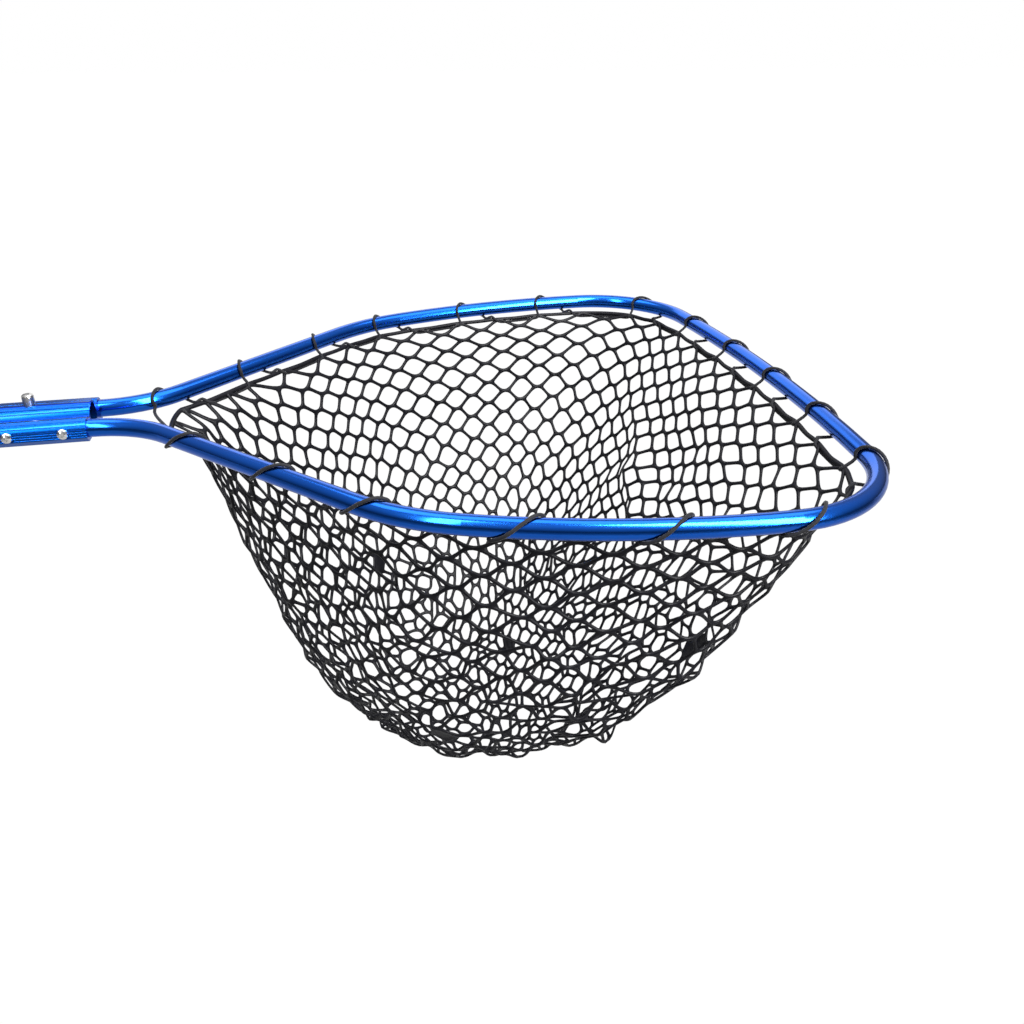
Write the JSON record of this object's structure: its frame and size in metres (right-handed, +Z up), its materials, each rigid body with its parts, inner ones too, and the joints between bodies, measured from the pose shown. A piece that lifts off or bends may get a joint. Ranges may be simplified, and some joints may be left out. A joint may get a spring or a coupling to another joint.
{
  "type": "landing net",
  "caption": "Hand-held landing net: bent tube hoop in a ribbed yoke, rubber mesh bag laced to the hoop, and a detachable tube handle locked by a snap button.",
  "frame": {"origin": "middle of the yoke's front face, in the plane of the hoop tube's centreline", "axes": "+X from the handle towards the far edge of the hoop, +Z up out of the bag's mouth, bag hanging to -Z, +Y to the left"},
  "size_m": [1.3277, 0.6235, 0.3929],
  "materials": {
    "blue_anodised": "gloss blue anodised tube",
    "blue_extrusion": "blue anodised ribbed extrusion",
    "screw_steel": "bright stainless",
    "button_steel": "satin steel",
    "spring_steel": "dull spring steel",
    "black_plastic": "moulded, fine texture",
    "grip_foam": "closed-cell foam",
    "net_rubber": "satin moulded rubber mesh",
    "lacing_cord": "black twisted cord"
  },
  "bodies": {
    "head": {"hoop_tube": "blue_anodised", "yoke": "blue_extrusion", "hoop_screw_left_front": "screw_steel", "hoop_screw_left_rear": "screw_steel", "hoop_screw_right_front": "screw_steel", "hoop_screw_right_rear": "screw_steel", "net_bag": "net_rubber", "lacing_cord": "lacing_cord"},
    "handle": {"handle_tube": "blue_anodised", "handle_front_plug": "black_plastic", "button_spring": "spring_steel", "handle_grip": "grip_foam", "butt_cap": "black_plastic"},
    "button": {"snap_button": "button_steel"}
  },
  "joints": [
    {"name": "handle_slide", "type": "slide", "parent": "head", "child": "handle", "axis": [1, 0, 0], "range_m": [-0.12, 0], "deforming": ["snap_button", "button_spring"]},
    {"name": "button_press", "type": "slide", "parent": "handle", "child": "button", "axis": [0, 0, -1], "range_m": [0, 0.0115], "stiffness_N_per_m": 400, "springref_m": -0.004}
  ]
}
